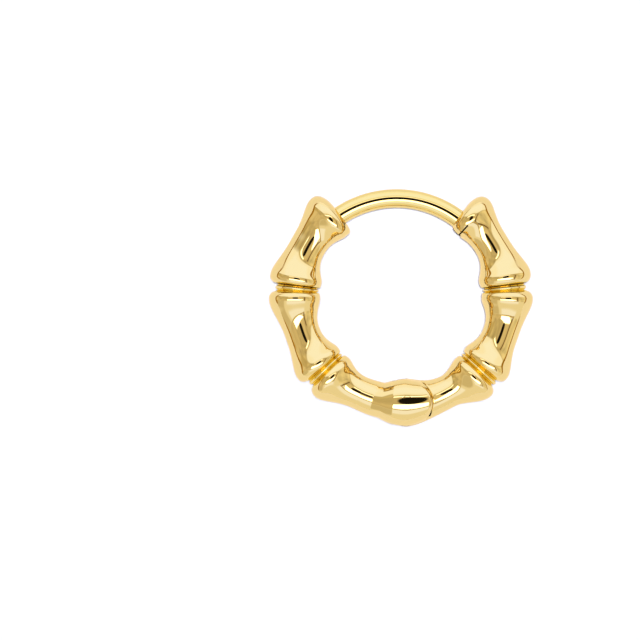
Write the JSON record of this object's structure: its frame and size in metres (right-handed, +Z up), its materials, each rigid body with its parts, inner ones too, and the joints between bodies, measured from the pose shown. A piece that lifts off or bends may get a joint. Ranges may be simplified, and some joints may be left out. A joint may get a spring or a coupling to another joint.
{
  "type": "huggie hoop earring",
  "caption": "Hinged bamboo-pattern huggie hoop earring in polished yellow gold, with a curved ear post that closes into a slotted catch.",
  "frame": {"origin": "middle of the hoop's box, on the surface that it lies on", "axes": "+Z up along the hoop's own axis, +Y from the hinge to the ear post, +X from the post half to the catch half"},
  "size_m": [0.0135, 0.0122, 0.0028],
  "materials": {
    "polished_gold": "mirror-polished pale yellow gold plate",
    "pin_gold": "pale yellow gold, filed flush and polished"
  },
  "bodies": {
    "post_side": {"post_half": "polished_gold", "hinge_pin": "pin_gold"},
    "catch_side": {"catch_half": "polished_gold"}
  },
  "joints": [
    {"name": "hinge", "type": "hinge", "parent": "post_side", "child": "catch_side", "pos_m": [0.0003, -0.00482, 0.0014], "axis": [0, 0, -1], "range_deg": [0, 60]}
  ]
}
